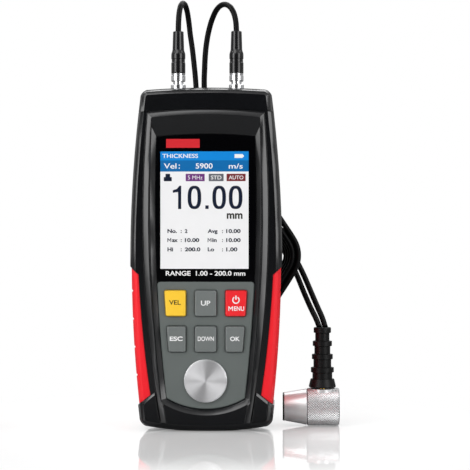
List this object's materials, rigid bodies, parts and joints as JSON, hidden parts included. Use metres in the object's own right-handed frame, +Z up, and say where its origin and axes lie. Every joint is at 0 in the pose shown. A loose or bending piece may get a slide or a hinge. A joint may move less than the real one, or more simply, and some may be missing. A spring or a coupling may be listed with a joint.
{
  "type": "ultrasonic thickness gauge",
  "caption": "Handheld thickness gauge with a rimmed display, keypad, round test disc and soft side grips, and a right-angle probe on twin thin leads.",
  "frame": {"origin": "middle of the flat foot under the housing", "axes": "+Z up along the housing's height, -Y out of the display, +X to the right of the display, where the probe stands"},
  "size_m": [0.0982, 0.0497, 0.2039],
  "materials": {
    "black_plastic": "fine moulded grain",
    "red_rubber": "soft satin",
    "black_window": "polished",
    "display_panel": "smooth",
    "white_plastic": "matte",
    "grey_panel": "fine grain",
    "yellow_key": "satin",
    "grey_key": "satin",
    "red_key": "satin",
    "dark_plastic": "matte",
    "board_laminate": "semi gloss",
    "plain_steel": "plated",
    "spun_steel": "spun in fine rings",
    "bright_metal": "polished plating",
    "knurled_metal": "knurled and plated",
    "wire_brass": "plain",
    "black_rubber": "satin",
    "lead_jacket": "satin",
    "tie_fabric": "woven",
    "delay_resin": "smooth",
    "cell_sleeve": "shrink sleeve"
  },
  "bodies": {
    "gauge": {"front_shell": "black_plastic", "rear_shell": "black_plastic", "top_cap": "black_plastic", "grip_left": "red_rubber", "grip_right": "red_rubber", "display_window": "black_window", "display_module": "display_panel", "display_frame": "white_plastic", "keypad_panel": "grey_panel", "key_switches": "dark_plastic", "main_board": "board_laminate", "board_parts": "dark_plastic", "board_screws": "plain_steel", "test_disc": "spun_steel", "socket_left": "bright_metal", "socket_right": "bright_metal", "socket_nuts": "bright_metal", "socket_wires": "wire_brass", "plug_left": "bright_metal", "plug_right": "bright_metal", "plug_boot_left": "black_rubber", "plug_boot_right": "black_rubber", "lead_left_top": "lead_jacket", "lead_right_top": "lead_jacket", "lead_hank": "lead_jacket", "hank_tie": "tie_fabric", "lead_left_tail": "lead_jacket", "lead_right_tail": "lead_jacket", "probe_boot": "black_rubber", "probe_body": "knurled_metal", "probe_nose": "bright_metal", "probe_face": "dark_plastic", "probe_crystals": "delay_resin", "probe_barrier": "delay_resin", "probe_backing": "dark_plastic", "batteries": "cell_sleeve", "battery_springs": "plain_steel", "battery_contacts": "plain_steel", "housing_screws": "plain_steel"},
    "vel_key": {"key_vel": "yellow_key"},
    "up_key": {"key_up": "grey_key"},
    "menu_key": {"key_menu": "red_key"},
    "esc_key": {"key_esc": "grey_key"},
    "down_key": {"key_down": "grey_key"},
    "ok_key": {"key_ok": "grey_key"},
    "door": {"battery_door": "black_plastic"}
  },
  "joints": [
    {"name": "vel_press", "type": "slide", "parent": "gauge", "child": "vel_key", "axis": [0, 1, 0], "range_m": [0, 0.0008], "stiffness_N_per_m": 400},
    {"name": "up_press", "type": "slide", "parent": "gauge", "child": "up_key", "axis": [0, 1, 0], "range_m": [0, 0.0008], "stiffness_N_per_m": 400},
    {"name": "menu_press", "type": "slide", "parent": "gauge", "child": "menu_key", "axis": [0, 1, 0], "range_m": [0, 0.0008], "stiffness_N_per_m": 400},
    {"name": "esc_press", "type": "slide", "parent": "gauge", "child": "esc_key", "axis": [0, 1, 0], "range_m": [0, 0.0008], "stiffness_N_per_m": 400},
    {"name": "down_press", "type": "slide", "parent": "gauge", "child": "down_key", "axis": [0, 1, 0], "range_m": [0, 0.0008], "stiffness_N_per_m": 400},
    {"name": "ok_press", "type": "slide", "parent": "gauge", "child": "ok_key", "axis": [0, 1, 0], "range_m": [0, 0.0008], "stiffness_N_per_m": 400},
    {"name": "door_slide", "type": "slide", "parent": "gauge", "child": "door", "axis": [0, 0, -1], "range_m": [0, 0.062]}
  ]
}
